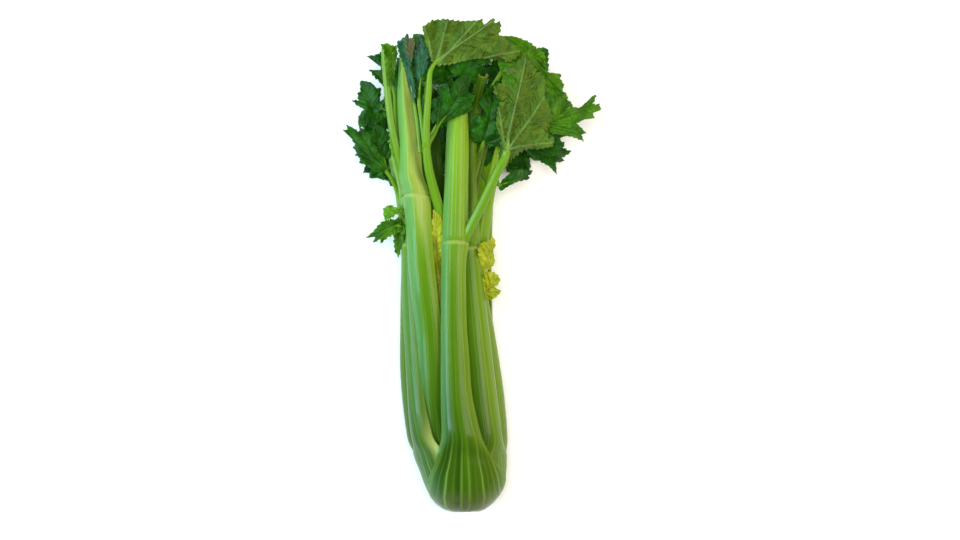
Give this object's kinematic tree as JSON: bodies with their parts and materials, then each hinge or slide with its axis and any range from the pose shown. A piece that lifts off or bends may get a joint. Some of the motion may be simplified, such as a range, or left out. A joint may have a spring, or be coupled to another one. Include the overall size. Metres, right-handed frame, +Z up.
{
  "type": "head of celery",
  "caption": "Head of celery lying on its back: a cut root end, tall ribbed green stalks with a node ring each, a yellow heart and dark, lobed leaves in a loose crown.",
  "frame": {"origin": "on the surface that the head lies on, under the middle of its bounding box", "axes": "+Y from the cut root end to the leaf tips, +Z up from the surface, +X to the right when seen from above with the leaves at the top"},
  "size_m": [0.209, 0.3936, 0.0953],
  "materials": {
    "stalk_skin": null,
    "root_flesh": "cut celery root end: pale, damp, slightly browned flesh",
    "heart_skin": "celery heart stalk: pale yellow-green, moist, satin",
    "leaf_green": "celery leaf: thin, veined, satin dark green above and paler matt green below",
    "heart_leaf": "young celery leaf from the heart: thin, crinkled, yellow-green"
  },
  "bodies": {
    "root": {"root_end": "root_flesh", "stalk_front_middle": "stalk_skin", "stalk_front_right": "stalk_skin", "stalk_left": "stalk_skin", "stalk_front_left": "stalk_skin", "stalk_side_right": "stalk_skin", "stalk_side_left": "stalk_skin", "stalk_back_right": "stalk_skin", "stalk_back_left": "stalk_skin", "stalk_inner_right": "stalk_skin", "stalk_inner_left": "stalk_skin", "stalk_inner_back_right": "stalk_skin", "stalk_inner_back_left": "stalk_skin", "heart_stalk_left": "heart_skin", "heart_stalk_right": "heart_skin", "heart_stalk_middle": "heart_skin", "leaf_right_broad": "leaf_green", "leaf_far_right": "leaf_green", "leaf_top": "leaf_green", "leaf_top_right": "leaf_green", "leaf_centre": "leaf_green", "leaf_upper_left_inner": "leaf_green", "leaf_upper_left_outer": "leaf_green", "leaf_left_tip": "leaf_green", "leaf_left_shoulder": "leaf_green", "leaf_left_small": "leaf_green", "leaf_left_broad": "leaf_green", "leaf_left_pale": "leaf_green", "leaf_left_low": "leaf_green", "leaf_left_curl": "leaf_green", "leaf_right_low": "leaf_green", "leaf_right_narrow": "leaf_green", "heart_leaf_left": "heart_leaf", "heart_leaf_right_upper": "heart_leaf", "heart_leaf_right_lower": "heart_leaf", "heart_leaf_middle": "heart_leaf", "leaf_middle_tip": "leaf_green", "leaf_inner_right_tip": "leaf_green", "leaf_inner_right_inside": "leaf_green", "leaf_inner_right_outside": "leaf_green", "leaf_inner_left_tip": "leaf_green", "leaf_inner_left_inside": "leaf_green", "leaf_inner_left_outside": "leaf_green", "leaf_side_right_tip": "leaf_green", "leaf_side_left_tip": "leaf_green", "leaf_side_left_branch": "leaf_green", "leaf_inner_back_right_tip": "leaf_green", "leaf_inner_back_right_inside": "leaf_green", "leaf_inner_back_left_tip": "leaf_green", "leaf_inner_back_left_inside": "leaf_green", "leaf_back_right_tip": "leaf_green", "leaf_back_right_branch": "leaf_green", "leaf_back_right_inside": "leaf_green", "leaf_back_left_tip": "leaf_green", "leaf_back_left_branch": "leaf_green", "leaf_back_left_inside": "leaf_green"}
  },
  "joints": []
}
